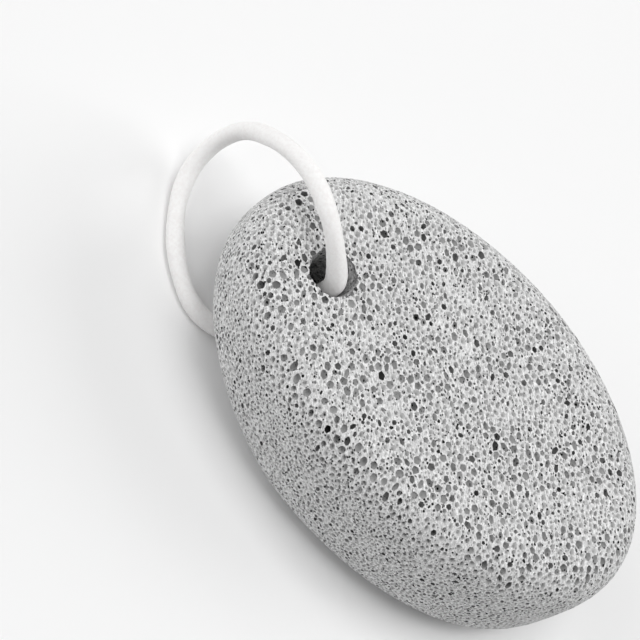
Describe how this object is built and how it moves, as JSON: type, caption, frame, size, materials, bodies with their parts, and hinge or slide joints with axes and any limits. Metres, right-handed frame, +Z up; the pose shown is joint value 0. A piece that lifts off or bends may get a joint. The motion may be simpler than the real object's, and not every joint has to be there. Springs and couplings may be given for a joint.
{
  "type": "pumice stone",
  "caption": "Oval grey pumice stone with flat faces, rounded edges and an open-pored skin, bored near one end for a white braided cord loop; rubs hard skin smooth.",
  "frame": {"origin": "on the surface that the stone rests on, under the middle of the stone's box", "axes": "+X along the stone from the bored end to the thick end, +Z up from the resting face to the other face"},
  "size_m": [0.1157, 0.065, 0.0403],
  "materials": {
    "pumice": "matt light grey stone, full of open gas pits",
    "braid": "white round braided cord, matt with a slight sheen"
  },
  "bodies": {
    "root": {"stone": "pumice", "cord": "braid"}
  },
  "joints": []
}
